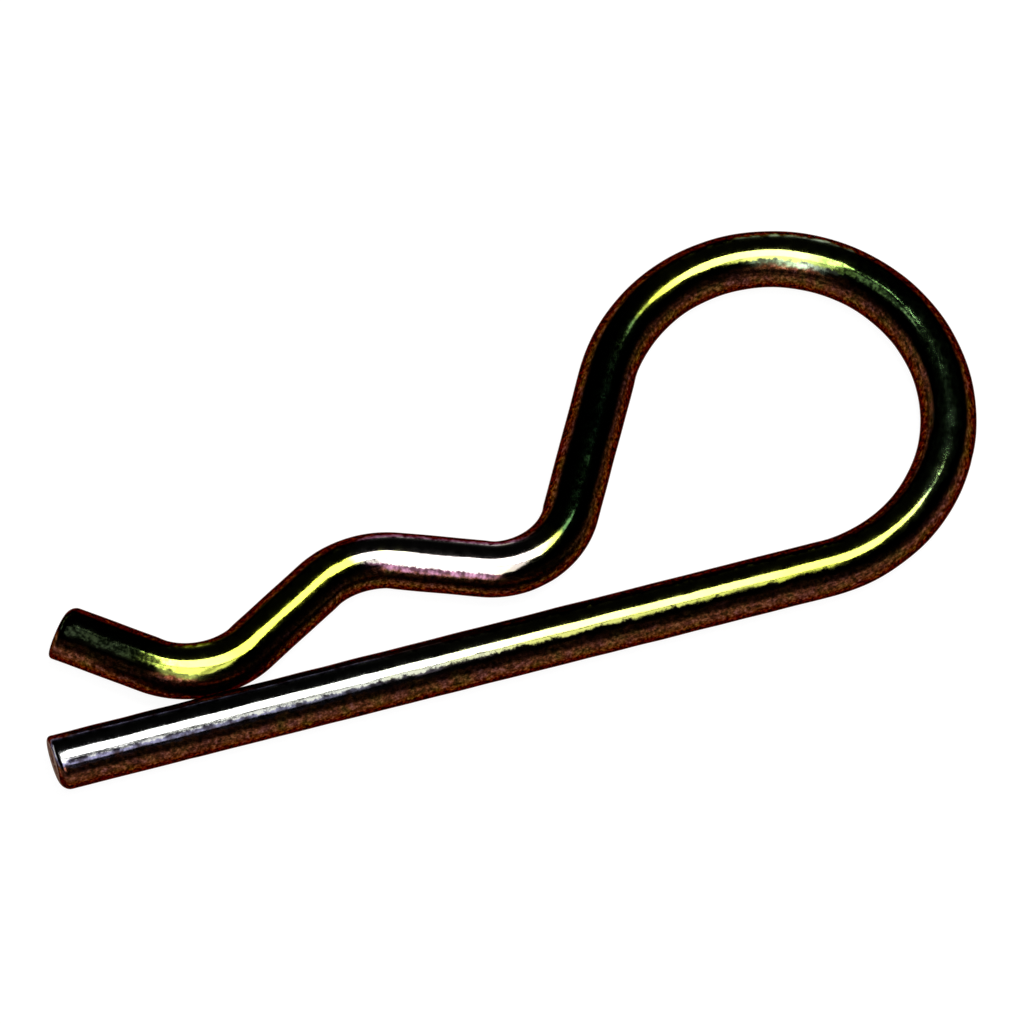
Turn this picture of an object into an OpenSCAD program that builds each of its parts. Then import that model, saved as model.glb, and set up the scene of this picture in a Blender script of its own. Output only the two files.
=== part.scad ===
// Hitch R clip pin: one length of round spring wire bent in one plane.
// A straight leg passes through the cross hole of a shaft, a large round
// loop is the spring, and the second leg is bent to grip the shaft's side.
// The clip lies flat: the wire's lowest line is at z = 0, the straight leg
// runs along x with its cut end towards -x, and the origin is under the
// middle of the clip's outline.

/* [Wire] */
// Diameter of the round wire
wire_d = 4; // [3:0.1:5]
// Radius of the rounding around each cut end
end_round = 0.6; // [0.2:0.1:1.2]

/* [Straight leg] */
// Length of the straight leg, from its cut end to the start of the loop
leg_len = 55.5; // [48:0.5:75]

/* [Loop] */
// Clear diameter inside the loop
loop_inner_d = 20; // [17:0.5:28]
// Angle between the neck and the straight leg, where the loop ends
neck_angle = 60; // [50:1:75]

/* [Throat] */
// Clear gap between the neck's bend and the straight leg
throat_gap = 1.9; // [0.8:0.1:3]
// Radius on the inside of the neck's bend
throat_inner_r = 3.7; // [2:0.1:5]

/* [Shaft seat] */
// Angle at which the shelf rises from the straight leg
shelf_angle = 21; // [15:1:30]
// Length of the straight shelf between the neck's bend and the seat
shelf_len = 6; // [4:0.1:9]
// Radius on the inside of the bend that lies on the shaft
seat_inner_r = 5; // [3:0.1:7]

/* [Jaw] */
// Angle at which the ramp falls back to the straight leg
ramp_angle = 29; // [25:1:38]
// Radius on the inside of the bend that closes on the straight leg
jaw_inner_r = 4.6; // [2:0.1:6]
// Gap left at the spring's line of contact with the straight leg
jaw_gap = 0.1; // [0.06:0.02:0.6]
// Angle at which the flared tip opens from the straight leg
flare_angle = 37.5; // [28:0.5:50]
// Length of the straight flared tip, to its cut end
flare_len = 6.8; // [5:0.1:12]

/* [Hidden] */
$fn = 48;

// Each straight is a hair thinner than its bends, and its ends sink into
// them, so that the wire is one unbroken solid
wire_r = wire_d / 2;
rod_r = wire_r - 0.01;
rod_sink = 0.2;
loop_r = loop_inner_d / 2 + wire_r;
throat_r = throat_inner_r + wire_r;
seat_r = seat_inner_r + wire_r;
jaw_r = jaw_inner_r + wire_r;

// Heights of the wire's centreline above the straight leg's centreline
throat_y = wire_d + throat_gap;
jaw_y = wire_d + jaw_gap;
loop_end_y = loop_r * (1 + cos(neck_angle));
neck_end_y = throat_y + throat_r * (1 - cos(neck_angle));
shelf_start_y = throat_y + throat_r * (1 - cos(shelf_angle));
ramp_start_y = shelf_start_y + shelf_len * sin(shelf_angle) + seat_r * (cos(ramp_angle) - cos(shelf_angle));
ramp_end_y = jaw_y + jaw_r * (1 - cos(ramp_angle));

// The neck and the ramp are as long as the two gaps above need
neck_len = (loop_end_y - neck_end_y) / sin(neck_angle);
ramp_len = (ramp_start_y - ramp_end_y) / sin(ramp_angle);

// The wire from its straight cut end to its flared one. A straight is
// [length, 0, 0] and a bend is [0, centreline radius, turn], left positive.
WIRE = [
    [leg_len, 0, 0],
    [0, loop_r, 180 + neck_angle],
    [neck_len, 0, 0],
    [0, throat_r, -neck_angle - shelf_angle],
    [shelf_len, 0, 0],
    [0, seat_r, shelf_angle + ramp_angle],
    [ramp_len, 0, 0],
    [0, jaw_r, -ramp_angle - flare_angle],
    [flare_len, 0, 0]
];

// Where a stretch ends that starts at [x, y, heading]
function past(start, stretch) =
    let (x = start[0], y = start[1], a = start[2], side = sign(stretch[2]), b = a + stretch[2])
    stretch[1] == 0
        ? [x + stretch[0] * cos(a), y + stretch[0] * sin(a), a]
        : [x + side * stretch[1] * (sin(b) - sin(a)), y - side * stretch[1] * (cos(b) - cos(a)), b];

// Where stretch number i starts, with the loop starting at x = 0
function place(i) = i == 0 ? [-leg_len, 0, 0] : past(place(i - 1), WIRE[i - 1]);

// The clip's outline along x, between its two tips and the loop's far side
tip = place(len(WIRE));
tip_x = tip[0] - end_round * (1 + cos(tip[2])) - (wire_r - end_round) * abs(sin(tip[2]));
outline_min_x = min(-leg_len, tip_x);
outline_max_x = loop_r + wire_r;

module rod(from, to) {
    translate([from, 0, 0])
        rotate([0, 90, 0])
            cylinder(h = to - from, r = rod_r);
}

// The last end_round of the wire: a flat cut with a rounded edge, facing +x
module cut_end() {
    rotate([0, 90, 0])
        rotate_extrude() {
            square([rod_r - end_round, end_round]);
            intersection() {
                translate([rod_r - end_round, 0])
                    circle(r = end_round);
                square([rod_r, end_round]);
            }
        }
}

// A bend starts at the origin, heading along x
module left_bend(radius, turn) {
    translate([0, radius, 0])
        rotate([0, 0, -90])
            rotate_extrude(angle = turn)
                translate([radius, 0])
                    circle(r = wire_r);
}

module bend(radius, turn) {
    if (turn > 0)
        left_bend(radius, turn);
    else
        mirror([0, 1, 0])
            left_bend(radius, -turn);
}

module straight(length, first, last) {
    rod(first ? end_round : -rod_sink, last ? length - end_round : length + rod_sink);
    if (first)
        translate([end_round, 0, 0])
            rotate([0, 0, 180])
                cut_end();
    if (last)
        translate([length - end_round, 0, 0])
            cut_end();
}

// Carries what follows to the far end of a stretch
module beyond(s) {
    if (s[1] == 0)
        translate([s[0], 0, 0])
            children();
    else
        translate([0, sign(s[2]) * s[1], 0])
            rotate([0, 0, s[2]])
                translate([0, -sign(s[2]) * s[1], 0])
                    children();
}

// The wire from stretch number i to its flared cut end
module wire_from(i) {
    if (WIRE[i][1] == 0)
        straight(WIRE[i][0], i == 0, i == len(WIRE) - 1);
    else
        bend(WIRE[i][1], WIRE[i][2]);
    if (i < len(WIRE) - 1)
        beyond(WIRE[i])
            wire_from(i + 1);
}

module wire_clip() {
    color([0.16, 0.15, 0.05])
        translate([-leg_len - (outline_min_x + outline_max_x) / 2, -loop_r, wire_r])
            wire_from(0);
}

wire_clip();
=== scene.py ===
"""Looks of the wire clip: one swept wire with its plating, on a pale floor under soft studio light."""

import math
import random

import bpy
import numpy as np
from mathutils import Matrix, Vector


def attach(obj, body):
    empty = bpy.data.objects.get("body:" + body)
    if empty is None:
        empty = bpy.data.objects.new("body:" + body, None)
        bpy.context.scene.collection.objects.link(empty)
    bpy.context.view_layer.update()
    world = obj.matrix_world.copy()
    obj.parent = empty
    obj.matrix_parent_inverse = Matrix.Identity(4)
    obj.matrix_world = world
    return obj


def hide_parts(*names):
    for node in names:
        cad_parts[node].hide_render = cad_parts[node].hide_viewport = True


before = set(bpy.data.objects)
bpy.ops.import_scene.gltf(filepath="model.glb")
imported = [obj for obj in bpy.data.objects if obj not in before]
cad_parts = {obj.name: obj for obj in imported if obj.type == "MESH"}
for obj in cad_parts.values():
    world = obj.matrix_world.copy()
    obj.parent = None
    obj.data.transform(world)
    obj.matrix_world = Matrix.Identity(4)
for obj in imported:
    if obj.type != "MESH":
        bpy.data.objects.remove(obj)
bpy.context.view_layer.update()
rng = random.Random(7)

MM = 0.001

# The wire's sizes in millimetres and degrees, as the part's source has them
WIRE_R = 2.0
END_ROUND = 0.6
LEG_LEN = 55.5
LOOP_R = 12.0
NECK_ANGLE = 60.0
THROAT_Y = 5.9
THROAT_R = 5.7
SHELF_ANGLE = 21.0
SHELF_LEN = 6.0
SEAT_R = 7.0
RAMP_ANGLE = 29.0
JAW_Y = 4.1
JAW_R = 6.6
FLARE_ANGLE = 37.5
FLARE_LEN = 6.8
MIDDLE_X = -20.75


def cosd(angle):
    return math.cos(math.radians(angle))


def sind(angle):
    return math.sin(math.radians(angle))


def wire_stretches():
    """(length, centreline radius or 0, turn in degrees) of each stretch, from the straight leg's cut end."""
    loop_end = LOOP_R * (1 + cosd(NECK_ANGLE))
    neck_end = THROAT_Y + THROAT_R * (1 - cosd(NECK_ANGLE))
    neck_len = (loop_end - neck_end) / sind(NECK_ANGLE)
    shelf_start = THROAT_Y + THROAT_R * (1 - cosd(SHELF_ANGLE))
    ramp_start = (
        shelf_start
        + SHELF_LEN * sind(SHELF_ANGLE)
        + SEAT_R * (cosd(RAMP_ANGLE) - cosd(SHELF_ANGLE))
    )
    ramp_end = JAW_Y + JAW_R * (1 - cosd(RAMP_ANGLE))
    ramp_len = (ramp_start - ramp_end) / sind(RAMP_ANGLE)
    bends = [
        (LOOP_R, 180 + NECK_ANGLE),
        (THROAT_R, -NECK_ANGLE - SHELF_ANGLE),
        (SEAT_R, SHELF_ANGLE + RAMP_ANGLE),
        (JAW_R, -RAMP_ANGLE - FLARE_ANGLE),
    ]
    straights = [LEG_LEN, neck_len, SHELF_LEN, ramp_len, FLARE_LEN]
    out = []
    for i, length in enumerate(straights):
        out.append((length, 0, 0))
        if i < len(bends):
            radius, turn = bends[i]
            out.append((radius * math.radians(abs(turn)), radius, turn))
    return out


STRETCHES = wire_stretches()
WIRE_LEN = sum(s[0] for s in STRETCHES)


def centreline(s):
    """Place on the wire's middle line and its heading in radians, s mm from the leg's cut end."""
    x, y, heading = -LEG_LEN - MIDDLE_X, -LOOP_R, 0.0
    for i, (length, radius, turn) in enumerate(STRETCHES):
        last = i == len(STRETCHES) - 1
        step = s if last else min(s, length)
        side = math.copysign(1, turn) if radius else 0
        if radius:
            end = heading + side * step / radius
            x += side * radius * (math.sin(end) - math.sin(heading))
            y -= side * radius * (math.cos(end) - math.cos(heading))
            heading = end
        else:
            x += step * math.cos(heading)
            y += step * math.sin(heading)
        s -= step
        if s <= 0:
            break
    return x, y, heading


# The wire's mesh, and the shape of its sheared ends, in mm and radians
SIDES = 72
RING_STEP = 0.24
END_ZONE = 1.2
END_TILT = 0.16
END_RIPPLE = 0.02
END_UNEVEN = 0.5
LEG_BIG_SIDE = 1.25 * math.pi
FLARE_BIG_SIDE = 0.8 * math.pi
FACE_RINGS = 5
ROUND_RINGS = 8
TOP = math.pi / 2

# Flats on the crown, chosen for the width of the highlights: middle, half length and depth in mm
PRESSED = [(0.0, 24.0, 0.05), (86.0, 6.0, 0.06), (127.5, 8.0, 0.14), (146.5, 5.0, 0.09)]
PRESS_SPREAD = math.radians(60)
BEND_SQUEEZE = 0.4
SQUEEZE_BLEND = 0.8
SQUEEZE_SPREAD = math.radians(70)
WAVES = 14
WAVE_DEPTH = 0.004
WAVE_SPAN = (2.5, 9.0)
WAVE_LOBES = (1, 4)
NICKS = 90
NICK_MARGIN = 2
NICK_LENGTH = (0.35, 1.1)
NICK_SPREAD = (0.12, 0.3)
NICK_DEPTH = (0.005, 0.02)


def lobe(offset, half):
    """1 in the middle and 0 from half on, with no corner."""
    bell = np.cos(np.clip(offset / half, -1, 1) * math.pi / 2) ** 2
    return np.where(np.abs(offset) < half, bell, 0.0)


def turned(a, b):
    """The angle from b to a, between minus and plus half a turn."""
    return np.angle(np.exp(1j * (a - b)))


def worn(s, a):
    """Depth in mm of the wire's skin under a true cylinder, s along it and at angle a from its left side."""
    depth = np.zeros_like(s)
    for middle, half, deep in PRESSED:
        depth += deep * lobe(s - middle, half) * lobe(turned(a, TOP), PRESS_SPREAD)
    start = 0.0
    for length, radius, turn in STRETCHES:
        if radius:
            inner = 0.0 if turn > 0 else math.pi
            rise = np.clip((s - start) / SQUEEZE_BLEND, 0, 1)
            fall = np.clip((start + length - s) / SQUEEZE_BLEND, 0, 1)
            depth += BEND_SQUEEZE / radius * (rise * fall) * lobe(turned(a, inner), SQUEEZE_SPREAD)
        start += length
    for _ in range(WAVES):
        span = rng.uniform(*WAVE_SPAN)
        lobes = rng.randint(*WAVE_LOBES)
        phase = rng.uniform(0, math.tau)
        depth += WAVE_DEPTH * (1 + np.sin(math.tau * s / span + lobes * a + phase)) / 2
    for _ in range(NICKS):
        where, angle = rng.uniform(NICK_MARGIN, WIRE_LEN - NICK_MARGIN), rng.uniform(0, math.tau)
        long, wide = rng.uniform(*NICK_LENGTH), rng.uniform(*NICK_SPREAD)
        depth += rng.uniform(*NICK_DEPTH) * lobe(s - where, long) * lobe(turned(a, angle), wide)
    return depth


def end_rings(a, big_side):
    """Each ring's distance from the cut and from the middle of a sheared end, rounded most on big_side."""
    rounding = END_ROUND * (1 + END_UNEVEN * np.cos(turned(a, big_side)))
    rings = []
    for k in range(1, FACE_RINGS + 1):
        rings.append((np.zeros_like(a), (WIRE_R - rounding) * k / FACE_RINGS))
    for k in range(1, ROUND_RINGS + 1):
        t = math.pi / 2 * k / ROUND_RINGS
        rings.append((rounding * (1 - math.cos(t)), WIRE_R - rounding * (1 - math.sin(t))))
    tilted = []
    for far, out in rings:
        ripple = END_RIPPLE * np.array([rng.random() for _ in a])
        fade = 1 - np.clip(far / END_ZONE, 0, 1)
        share = out / WIRE_R
        tilt = END_TILT / 2 * (1 + share * np.cos(turned(a, big_side)))
        tilted.append((far + (tilt + ripple * (far == 0)) * fade, out))
    return tilted


def build_wire():
    a = np.arange(SIDES) * math.tau / SIDES
    first = end_rings(a, LEG_BIG_SIDE)
    last = end_rings(a, FLARE_BIG_SIDE)
    body_len = WIRE_LEN - 2 * END_ZONE
    steps = round(body_len / RING_STEP)
    full = np.full(SIDES, WIRE_R)
    body = [(np.full(SIDES, END_ZONE + body_len * k / steps), full) for k in range(steps + 1)]
    rings = first + body + [(WIRE_LEN - far, out) for far, out in reversed(last)]
    along = np.array([ring[0] for ring in rings])
    out = np.array([ring[1] for ring in rings])
    angle = np.tile(a, (len(rings), 1))
    skin = out * (1 - worn(along, angle) / WIRE_R)
    points, strand = [], []
    for i in range(len(rings)):
        for k in range(SIDES):
            x, y, heading = centreline(along[i, k])
            r = skin[i, k] * math.cos(a[k])
            z = WIRE_R + skin[i, k] * math.sin(a[k])
            points.append((x - r * math.sin(heading), y + r * math.cos(heading), z))
            strand.append((along[i, k], out[i, k] * math.cos(a[k]), out[i, k] * math.sin(a[k])))
    faces = []
    for i in range(len(rings) - 1):
        for k in range(SIDES):
            n = (k + 1) % SIDES
            faces.append((i * SIDES + k, i * SIDES + n, (i + 1) * SIDES + n, (i + 1) * SIDES + k))
    for s, ring, order in ((END_TILT / 2, 0, 1), (WIRE_LEN - END_TILT / 2, len(rings) - 1, -1)):
        x, y, _ = centreline(s)
        points.append((x, y, WIRE_R))
        strand.append((s, 0, 0))
        middle = len(points) - 1
        for k in range(SIDES):
            n = (k + 1) % SIDES
            faces.append((middle, ring * SIDES + n, ring * SIDES + k)[::order])
    mesh = bpy.data.meshes.new("clip_wire")
    mesh.from_pydata((np.array(points) * MM).tolist(), [], faces)
    attribute = mesh.attributes.new("strand", "FLOAT_VECTOR", "POINT")
    attribute.data.foreach_set("vector", np.array(strand, np.float32).ravel())
    mesh.polygons.foreach_set("use_smooth", [True] * len(faces))
    mesh.update()
    obj = bpy.data.objects.new("clip_wire", mesh)
    bpy.context.scene.collection.objects.link(obj)
    return obj


class Nodes:
    """A short way to write a node tree."""

    def __init__(self, tree):
        self.tree = tree
        tree.nodes.clear()

    def add(self, kind, inputs=None, **settings):
        node = self.tree.nodes.new(kind)
        for name, value in settings.items():
            setattr(node, name, value)
        for name, value in (inputs or {}).items():
            if isinstance(value, bpy.types.NodeSocket):
                self.tree.links.new(value, node.inputs[name])
            else:
                node.inputs[name].default_value = value
        return node

    def math(self, operation, a, b=0.0):
        return self.add("ShaderNodeMath", {0: a, 1: b}, operation=operation).outputs[0]

    def ramp(self, factor, stops):
        node = self.add("ShaderNodeValToRGB", {"Fac": factor})
        elements = node.color_ramp.elements
        while len(elements) < len(stops):
            elements.new(0.5)
        for element, (place, colour) in zip(elements, stops, strict=True):
            element.position = place
            element.color = (*colour, 1)
        return node.outputs["Color"]

    def span(self, value, low, high, to_low=0.0, to_high=1.0, smooth=True):
        kind = "SMOOTHSTEP" if smooth else "LINEAR"
        return self.add(
            "ShaderNodeMapRange",
            {"Value": value, "From Min": low, "From Max": high, "To Min": to_low, "To Max": to_high},
            interpolation_type=kind,
        ).outputs["Result"]

    def noise(self, vector, scale, detail=3.0, rough=0.5):
        return self.add(
            "ShaderNodeTexNoise",
            {"Vector": vector, "Scale": scale, "Detail": detail, "Roughness": rough},
        ).outputs["Fac"]

    def mix(self, factor, a, b, blend="MIX"):
        return self.add(
            "ShaderNodeMix", {"Factor": factor, 6: a, 7: b}, data_type="RGBA", blend_type=blend
        ).outputs[2]


# The wire's material: plating colours, with painted shade and painted placement of highlights along the
# crown and beside it
def plating():
    mat = bpy.data.materials.new("plated_spring_wire_with_painted_light")
    mat.use_nodes = True
    n = Nodes(mat.node_tree)
    strand = n.add("ShaderNodeAttribute", attribute_name="strand").outputs["Vector"]
    split = n.add("ShaderNodeSeparateXYZ", {0: strand})
    along, up = split.outputs[0], split.outputs[2]

    # Plating colour along the wire's crown, and beside the crown, with blotches of about a wire's width; its
    # near-black stretches are painted shade, and its pale patches beside the crown set where the highlights
    # spread
    blotch = n.noise(strand, BLOTCH_SCALE)
    shifted = n.math("ADD", along, n.span(blotch, 0.3, 0.7, -BLOTCH_SHIFT, BLOTCH_SHIFT, smooth=False))
    crown = n.ramp(n.math("DIVIDE", shifted, WIRE_LEN), spread(CROWN_PLATING_AND_PAINTED_SHADE))
    beside = n.ramp(n.math("DIVIDE", shifted, WIRE_LEN), spread(BESIDE_TINT_AND_PAINTED_LIGHT))
    grain = n.span(n.noise(strand, GRAIN_SCALE, 4.0, 0.7), 0.34, 0.66, smooth=False)
    patch = n.noise(strand, PATCH_SCALE, rough=0.6)
    height = n.math("ABSOLUTE", n.math("DIVIDE", up, WIRE_R))
    wide = n.math("MULTIPLY", n.ramp(n.math("DIVIDE", along, WIRE_LEN), spread(WIDE_CROWN)), WIDEST)
    torn = n.span(patch, 0.3, 0.7, -PATCH_RAGGED, PATCH_RAGGED, smooth=False)
    ragged = n.math("ADD", n.math("ADD", height, wide), torn)
    ragged = n.math("ADD", ragged, n.span(grain, 0.0, 1.0, -GRAIN_RAGGED, GRAIN_RAGGED, smooth=False))
    speckled = n.ramp(n.math("DIVIDE", along, WIRE_LEN), spread(SPECKS_IN_PAINTED_SHADE))
    specks = n.ramp(n.noise(strand, SPECKLE_SCALE, 4.0, 0.65), CROWN_SPECKLE)
    crown = n.mix(speckled, crown, specks, "MULTIPLY")
    beside = n.mix(1.0, beside, n.ramp(patch, BESIDE_PATCHES), "MULTIPLY")
    plated_with_painted_light = n.mix(n.span(ragged, *CROWN_EDGE), crown, beside)

    # Down the sides the film is thin and brown, in grains with a red, olive or purple cast
    brown = n.ramp(grain, BROWN_GRAINS)
    cast = n.ramp(n.noise(strand, CAST_SCALE, rough=0.6), BROWN_CASTS)
    brown = n.mix(1.0, brown, cast, "MULTIPLY")
    flank = n.span(ragged, *FLANK_EDGE)
    colour = n.mix(flank, plated_with_painted_light, brown)

    # Lines of the drawing die, and a fine orange peel
    streak = n.add("ShaderNodeMapping", {"Vector": strand, "Scale": LINE_STRETCH}).outputs[0]
    lines = n.noise(streak, LINE_SCALE, 4.0, 0.65)
    mottle = n.noise(strand, MOTTLE_SCALE, 4.0, 0.6)
    rough = n.math(
        "ADD",
        n.span(mottle, 0.35, 0.65, *CROWN_ROUGHNESS, smooth=False),
        n.span(flank, 0.0, 1.0, 0.0, FLANK_ROUGHNESS, smooth=False),
    )
    relief = n.math("ADD", n.math("MULTIPLY", lines, LINE_RELIEF), mottle)
    bump = n.add(
        "ShaderNodeBump", {"Height": relief, "Strength": RELIEF_STRENGTH, "Distance": RELIEF_DEPTH * MM}
    ).outputs[0]
    shader = n.add(
        "ShaderNodeBsdfPrincipled",
        {
            "Base Color": colour,
            "Metallic": 1.0,
            "Roughness": rough,
            "Specular Tint": RIM_TINT,
            "Normal": bump,
        },
    )
    out = n.add("ShaderNodeOutputMaterial")
    n.tree.links.new(shader.outputs[0], out.inputs["Surface"])
    return mat


def spread(stops):
    """Stops in mm along the wire as shares of its length."""
    return [(place / WIRE_LEN, colour) for place, colour in stops]


# Sizes of the plating's noises, per mm
BLOTCH_SCALE = 0.35
CAST_SCALE = 0.9
PATCH_SCALE = 1.3
MOTTLE_SCALE = 1.4
LINE_SCALE = 1.6
SPECKLE_SCALE = 3.2
GRAIN_SCALE = 3.6
LINE_STRETCH = (0.05, 3.0, 3.0)
BLOTCH_SHIFT = 2.5

# Heights on the wire, as shares of its radius, where the crown's colour and the film beside it end
CROWN_EDGE = (0.935, 0.895)
FLANK_EDGE = (0.865, 0.75)
PATCH_RAGGED = 0.03
GRAIN_RAGGED = 0.02

CROWN_ROUGHNESS = (0.07, 0.13)
FLANK_ROUGHNESS = 0.12
LINE_RELIEF = 0.35
RELIEF_STRENGTH = 0.3
RELIEF_DEPTH = 0.02
RIM_TINT = (0.30, 0.16, 0.09, 1)

# What the crown mirrors of red, green and blue, against mm from the leg's cut end
# Tuned to one view: the bright stretches are the plating's tint, and the near-black stretches at the loop's
# right side, the neck and the flare's tip are painted shade that keeps the lamps' highlights off them
CROWN_PLATING_AND_PAINTED_SHADE = [
    (0, (0.34, 0.34, 0.34)),
    (24, (0.34, 0.35, 0.30)),
    (36, (0.33, 0.34, 0.10)),
    (55, (0.30, 0.33, 0.04)),
    (61, (0.28, 0.32, 0.05)),
    (65, (0.20, 0.26, 0.11)),
    (70, (0.20, 0.32, 0.17)),
    (76, (0.14, 0.22, 0.10)),
    (81, (0.05, 0.08, 0.03)),
    (84.5, (0.06, 0.09, 0.02)),
    (87, (0.33, 0.38, 0.10)),
    (92, (0.33, 0.36, 0.08)),
    (99, (0.32, 0.35, 0.035)),
    (101, (0.06, 0.07, 0.01)),
    (102.5, (0.02, 0.03, 0.008)),
    (110, (0.008, 0.022, 0.014)),
    (117, (0.02, 0.04, 0.014)),
    (119, (0.30, 0.33, 0.05)),
    (121.5, (0.36, 0.32, 0.26)),
    (123, (0.38, 0.34, 0.33)),
    (132, (0.38, 0.35, 0.32)),
    (134.5, (0.33, 0.36, 0.035)),
    (143, (0.30, 0.33, 0.03)),
    (147, (0.33, 0.36, 0.06)),
    (149, (0.16, 0.18, 0.035)),
    (151, (0.014, 0.018, 0.006)),
    (157, (0.025, 0.030, 0.018)),
]
# What the band beside the crown mirrors, against mm from the leg's cut end: near-black along most of the
# wire, which is painted shade that keeps the lamps' highlights off it, and pale tinted patches at the leg,
# the loop's top, the shelf and the jaw that set where the highlights spread, so there the highlights' width
# is painted
BESIDE_TINT_AND_PAINTED_LIGHT = [
    (0, (0.125, 0.120, 0.180)),
    (17, (0.070, 0.072, 0.100)),
    (27, (0.020, 0.016, 0.016)),
    (32, (0.003, 0.002, 0.002)),
    (84.5, (0.002, 0.003, 0.002)),
    (86.5, (0.190, 0.240, 0.160)),
    (89.5, (0.150, 0.200, 0.110)),
    (93, (0.004, 0.006, 0.002)),
    (120, (0.004, 0.005, 0.002)),
    (122, (0.080, 0.030, 0.030)),
    (123, (0.160, 0.080, 0.115)),
    (131, (0.160, 0.075, 0.110)),
    (133, (0.004, 0.005, 0.002)),
    (145, (0.010, 0.014, 0.002)),
    (147, (0.120, 0.140, 0.030)),
    (149, (0.006, 0.007, 0.002)),
    (157, (0.003, 0.003, 0.002)),
]
# How far the bright crown reaches down the wire's sides, as a share of WIDEST; widened at the loop's top,
# the shelf and the jaw so that the highlights there come out wide, which paints part of their width
WIDEST = 0.15
WIDE_CROWN = [
    (0, (0.0, 0.0, 0.0)),
    (26, (0.0, 0.0, 0.0)),
    (83, (0.0, 0.0, 0.0)),
    (86, (0.15, 0.15, 0.15)),
    (90, (0.0, 0.0, 0.0)),
    (120, (0.0, 0.0, 0.0)),
    (123.5, (0.65, 0.65, 0.65)),
    (130, (0.65, 0.65, 0.65)),
    (133, (0.0, 0.0, 0.0)),
    (144, (0.0, 0.0, 0.0)),
    (147, (0.6, 0.6, 0.6)),
    (149, (0.0, 0.0, 0.0)),
]
# Specks on the crown, laid only on the stretches where the crown is painted shade, so that faint glints
# break through it
CROWN_SPECKLE = [(0.42, (0.15, 0.2, 0.15)), (0.62, (2.2, 2.6, 2.2))]
BESIDE_PATCHES = [(0.38, (0.25, 0.22, 0.22)), (0.62, (1.6, 1.6, 1.7))]
SPECKS_IN_PAINTED_SHADE = [
    (60, (0.0, 0.0, 0.0)),
    (66, (0.6, 0.6, 0.6)),
    (84, (1.0, 1.0, 1.0)),
    (87, (0.0, 0.0, 0.0)),
    (100, (0.0, 0.0, 0.0)),
    (103, (1.0, 1.0, 1.0)),
    (117, (1.0, 1.0, 1.0)),
    (119, (0.0, 0.0, 0.0)),
    (148, (0.0, 0.0, 0.0)),
    (151, (1.0, 1.0, 1.0)),
]
BROWN_GRAINS = [
    (0.0, (0.008, 0.003, 0.001)),
    (0.4, (0.045, 0.014, 0.006)),
    (0.65, (0.110, 0.034, 0.013)),
    (1.0, (0.21, 0.090, 0.045)),
]
BROWN_CASTS = [
    (0.36, (0.80, 1.25, 0.75)),
    (0.47, (1.0, 1.05, 0.85)),
    (0.55, (1.0, 0.9, 0.95)),
    (0.66, (0.9, 0.85, 1.5)),
]

wire = build_wire()
wire.data.materials.append(plating())
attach(wire, "root")
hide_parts("wire_clip")


# The photograph's view, taken as 66 degrees above the clip and turned so that the leg climbs to the right
LOOK_AT = Vector((1.12, -2.11, WIRE_R)) * MM
UP_HEADING = 68.94
TILT = 24.35
ROLL = -5.17
CAMERA_DISTANCE = 2.0
VIEW_WIDTH = 70.8 * MM
SENSOR = 36.0

back_flat = Vector((cosd(UP_HEADING), sind(UP_HEADING), 0))
to_camera = -back_flat * sind(TILT) + Vector((0, 0, cosd(TILT)))
view_up = back_flat * cosd(TILT) + Vector((0, 0, sind(TILT)))
view_right = view_up.cross(to_camera)


def looking(direction, up):
    """Rotation of a camera or lamp that faces against direction."""
    right = up.cross(direction).normalized()
    return Matrix((right, direction.cross(right), direction)).transposed().to_4x4()


camera = bpy.data.objects.new("camera", bpy.data.cameras.new("camera"))
camera.data.sensor_width = SENSOR
camera.data.lens = SENSOR * CAMERA_DISTANCE / VIEW_WIDTH
rolled_up = view_up * cosd(ROLL) + view_right * sind(ROLL)
camera_place = Matrix.Translation(LOOK_AT + to_camera * CAMERA_DISTANCE)
camera.matrix_world = camera_place @ looking(to_camera, rolled_up)
bpy.context.scene.collection.objects.link(camera)
bpy.context.scene.camera = camera


def lamp(name, right, up, width, height, radiance, distance):
    """A rectangular lamp in the direction right and up of the camera's, seen from the clip, in degrees."""
    middle = to_camera * cosd(up) + view_up * sind(up)
    direction = middle * cosd(right) + view_right * sind(right)
    light = bpy.data.lights.new(name, "AREA")
    light.shape = "RECTANGLE"
    light.size = 2 * distance * math.tan(math.radians(width / 2))
    light.size_y = 2 * distance * math.tan(math.radians(height / 2))
    light.energy = radiance * math.pi * light.size * light.size_y
    obj = bpy.data.objects.new(name, light)
    tangent = view_up * cosd(up) - to_camera * sind(up)
    obj.matrix_world = Matrix.Translation(LOOK_AT + direction * distance) @ looking(direction, tangent)
    bpy.context.scene.collection.objects.link(obj)


lamp("softbox", right=9, up=30, width=26, height=25, radiance=9.0, distance=0.5)
lamp("low_panel", right=1, up=-11, width=21, height=54, radiance=4.0, distance=2.4)
lamp("edge_panel", right=15, up=2, width=7, height=24, radiance=2.5, distance=0.5)
lamp("side_panel", right=-13, up=12, width=16, height=44, radiance=0.7, distance=0.5)
lamp("left_panel", right=-80, up=0, width=14, height=70, radiance=1.0, distance=0.5)

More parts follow.
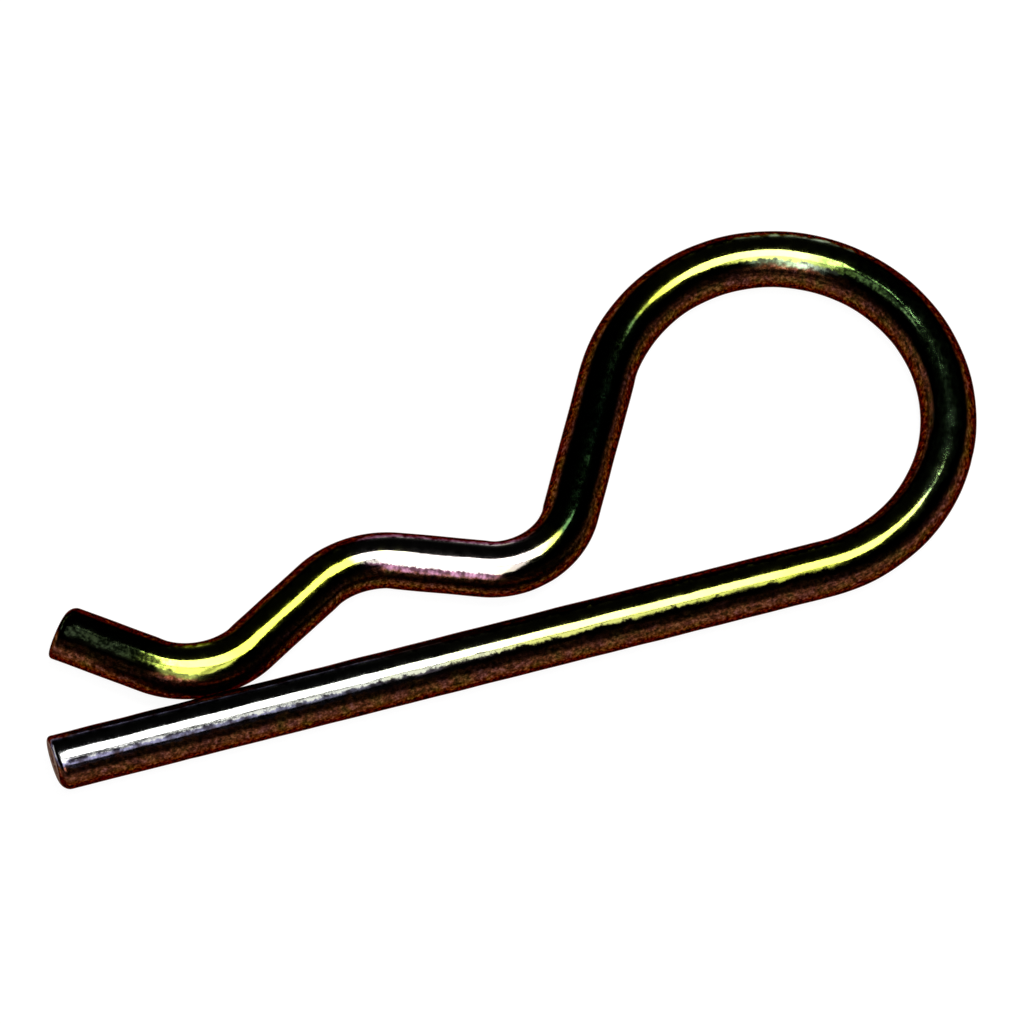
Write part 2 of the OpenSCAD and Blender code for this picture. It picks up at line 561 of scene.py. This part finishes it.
FLOOR_HALF = 4.0
FLOOR_GLOW = 0.92
FLOOR_MATT = (0.16, 0.16, 0.16, 1)


def pale(n, strength):
    """Adds a plain white glow that only views and mirrors see."""
    path = n.add("ShaderNodeLightPath").outputs
    seen = n.math("MAXIMUM", path["Is Camera Ray"], path["Is Glossy Ray"])
    seen = n.math("MAXIMUM", seen, path["Is Transmission Ray"])
    glow = n.math("MULTIPLY", seen, strength)
    return n.add("ShaderNodeEmission", {"Color": (1, 1, 1, 1), "Strength": glow})


def build_floor():
    mesh = bpy.data.meshes.new("floor")
    corners = [(x * FLOOR_HALF, y * FLOOR_HALF, 0) for x, y in ((-1, -1), (1, -1), (1, 1), (-1, 1))]
    mesh.from_pydata(corners, [], [(0, 1, 2, 3)])
    mat = bpy.data.materials.new("pale_floor")
    mat.use_nodes = True
    n = Nodes(mat.node_tree)
    glow = pale(n, FLOOR_GLOW)
    matt = n.add("ShaderNodeBsdfDiffuse", {"Color": FLOOR_MATT})
    both = n.add("ShaderNodeAddShader", {0: glow.outputs[0], 1: matt.outputs[0]})
    out = n.add("ShaderNodeOutputMaterial")
    n.tree.links.new(both.outputs[0], out.inputs["Surface"])
    mesh.materials.append(mat)
    floor = bpy.data.objects.new("floor", mesh)
    bpy.context.scene.collection.objects.link(floor)


# Brightness of the studio against height: as pale as the floor where the two meet, and dark overhead
SKY = [
    (0.07, (1.0, 1.0, 1.0)),
    (0.12, (0.15, 0.15, 0.15)),
    (0.25, (0.015, 0.015, 0.015)),
    (0.45, (0.002, 0.002, 0.002)),
]


def build_world():
    world = bpy.data.worlds.new("studio")
    bpy.context.scene.world = world
    world.use_nodes = True
    n = Nodes(world.node_tree)
    height = n.add("ShaderNodeSeparateXYZ", {0: n.add("ShaderNodeTexCoord").outputs["Generated"]}).outputs[2]
    colour = n.ramp(height, SKY)
    back = n.add("ShaderNodeBackground", {"Color": colour, "Strength": 1.0})
    out = n.add("ShaderNodeOutputWorld")
    n.tree.links.new(back.outputs[0], out.inputs["Surface"])


build_floor()
build_world()
bpy.context.scene.view_settings.view_transform = "Standard"
